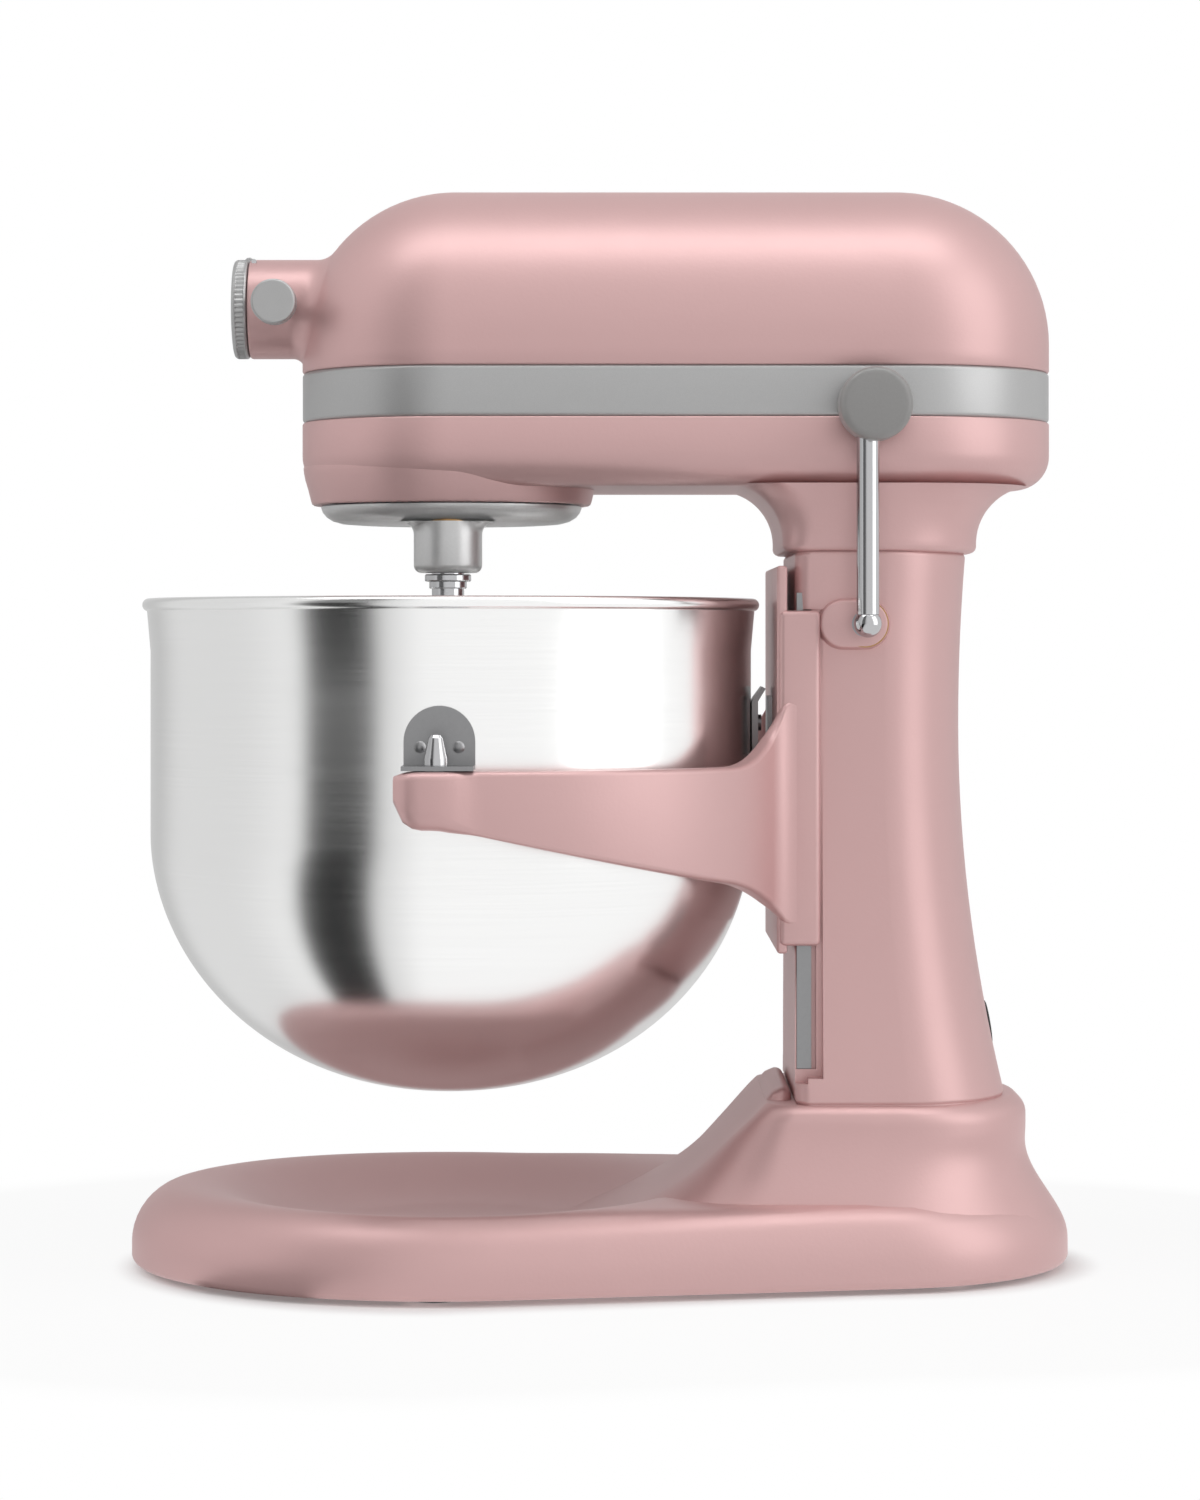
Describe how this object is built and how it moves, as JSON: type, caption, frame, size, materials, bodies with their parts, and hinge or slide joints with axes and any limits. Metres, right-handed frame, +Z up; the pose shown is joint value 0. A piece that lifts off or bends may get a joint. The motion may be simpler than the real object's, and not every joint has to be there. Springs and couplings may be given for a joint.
{
  "type": "stand mixer",
  "caption": "Bowl-lift stand mixer: capsule head with planetary drive and attachment hub, column with lift lever and yoke, steel bowl, long base with dish.",
  "frame": {"origin": "centre of the footprint, on the plane the feet stand on", "axes": "+Z up, -X towards the mixer's front and attachment hub, -Y towards its lift lever side"},
  "size_m": [0.3657, 0.2862, 0.419],
  "materials": {
    "pink_enamel": "satin enamel",
    "silver_trim": "satin silver-grey",
    "brushed_steel": "brushed stainless steel",
    "chrome": "polished chrome",
    "machined_steel": "machined steel",
    "bronze": "sintered bronze",
    "rubber": "matte rubber",
    "copper": "enamelled winding",
    "dark_plastic": "dark moulded plastic",
    "circuit_board": "green laminate",
    "grey_knob": "satin grey",
    "aluminium": "cast aluminium"
  },
  "bodies": {
    "frame": {"base": "pink_enamel", "rubber_feet": "rubber", "column": "pink_enamel", "column_screws": "machined_steel", "guide_rails": "brushed_steel", "gear_housing": "pink_enamel", "neck_screws": "machined_steel", "trim_band": "silver_trim", "head_cover": "pink_enamel", "cover_screws": "machined_steel", "hub_bushing": "bronze", "ring_gear": "machined_steel", "centre_bearing": "bronze", "transfer_bracket": "aluminium", "stator": "machined_steel", "motor_coils": "copper", "brush_holders": "dark_plastic", "front_bearing": "machined_steel", "rear_bearing": "machined_steel", "motor_bulkhead": "aluminium", "control_board": "circuit_board", "lift_bushings": "bronze", "cord_grommet": "rubber", "hub_cover_pin": "chrome"},
    "hub_cap": {"hub_cover": "silver_trim"},
    "hub_clamp": {"attachment_knob": "silver_trim"},
    "hub_drive": {"hub_drive_gear": "machined_steel"},
    "planetary": {"planetary_disc": "silver_trim", "centre_shaft": "machined_steel", "centre_gear": "machined_steel", "centre_bevel": "machined_steel", "beater_bushing": "bronze"},
    "beater_spindle": {"beater_shaft": "chrome", "planet_pinion": "machined_steel"},
    "transfer": {"transfer_shaft": "machined_steel", "worm_wheel": "bronze", "transfer_pinion": "machined_steel"},
    "rotor": {"motor_shaft": "machined_steel", "worm": "machined_steel", "armature": "machined_steel", "commutator": "copper", "motor_fan": "dark_plastic"},
    "speed_control": {"speed_lever": "dark_plastic", "speed_plate": "machined_steel"},
    "lever": {"lift_lever": "chrome", "lever_knob": "grey_knob", "lift_shaft": "machined_steel", "lift_crank": "machined_steel"},
    "link": {"lift_link": "machined_steel"},
    "yoke": {"bowl_yoke": "pink_enamel", "bowl_pins": "chrome", "yoke_clip": "brushed_steel", "link_pin": "machined_steel"},
    "bowl": {"bowl": "brushed_steel", "bowl_brackets": "brushed_steel"}
  },
  "joints": [
    {"name": "motor_spin", "type": "hinge", "parent": "frame", "child": "rotor", "pos_m": [0.085, 0, 0.3515], "axis": [1, 0, 0], "continuous": true},
    {"name": "transfer_spin", "type": "hinge", "parent": "frame", "child": "transfer", "pos_m": [-0.02202, 0.03, 0.3515], "axis": [0, 0, 1], "continuous": true},
    {"name": "planetary_spin", "type": "hinge", "parent": "frame", "child": "planetary", "pos_m": [-0.0582, 0, 0.289], "axis": [0, 0, 1], "continuous": true},
    {"name": "beater_spin", "type": "hinge", "parent": "planetary", "child": "beater_spindle", "pos_m": [-0.0582, -0.03675, 0.289], "axis": [0, 0, 1], "continuous": true},
    {"name": "hub_spin", "type": "hinge", "parent": "frame", "child": "hub_drive", "pos_m": [-0.09, 0, 0.3734], "axis": [1, 0, 0], "continuous": true},
    {"name": "hub_cap_flip", "type": "hinge", "parent": "frame", "child": "hub_cap", "pos_m": [-0.13495, 0, 0.3915], "axis": [0, 1, 0], "range_deg": [0, 110]},
    {"name": "clamp_turn", "type": "hinge", "parent": "frame", "child": "hub_clamp", "pos_m": [-0.125, -0.03, 0.3734], "axis": [0, 1, 0], "range_deg": [0, 360]},
    {"name": "speed_slide", "type": "slide", "parent": "frame", "child": "speed_control", "axis": [1, 0, 0], "range_m": [0, 0.044]},
    {"name": "lever_turn", "type": "hinge", "parent": "frame", "child": "lever", "pos_m": [0.1004, -0.07, 0.25], "axis": [0, 1, 0], "range_deg": [0, 120]},
    {"name": "link_turn", "type": "hinge", "parent": "lever", "child": "link", "pos_m": [0.11252, 0.014, 0.271], "axis": [0, 1, 0], "range_deg": [-120, 0]},
    {"name": "yoke_slide", "type": "slide", "parent": "frame", "child": "yoke", "axis": [0, 0, -1], "range_m": [0, 0.042]},
    {"name": "bowl_lift_off", "type": "slide", "parent": "yoke", "child": "bowl", "axis": [0, 0, 1], "range_m": [0, 0.015]}
  ],
  "couplings": [
    {"joint": "transfer_spin", "follows": "motor_spin", "ratio": 0.038462},
    {"joint": "planetary_spin", "follows": "motor_spin", "ratio": -0.014706},
    {"joint": "beater_spin", "follows": "motor_spin", "ratio": 0.059743},
    {"joint": "hub_spin", "follows": "motor_spin", "ratio": 0.021008},
    {"joint": "lever_turn", "follows": "yoke_slide", "rad_per_m": 49.867},
    {"joint": "link_turn", "follows": "yoke_slide", "rad_per_m": -49.867}
  ]
}
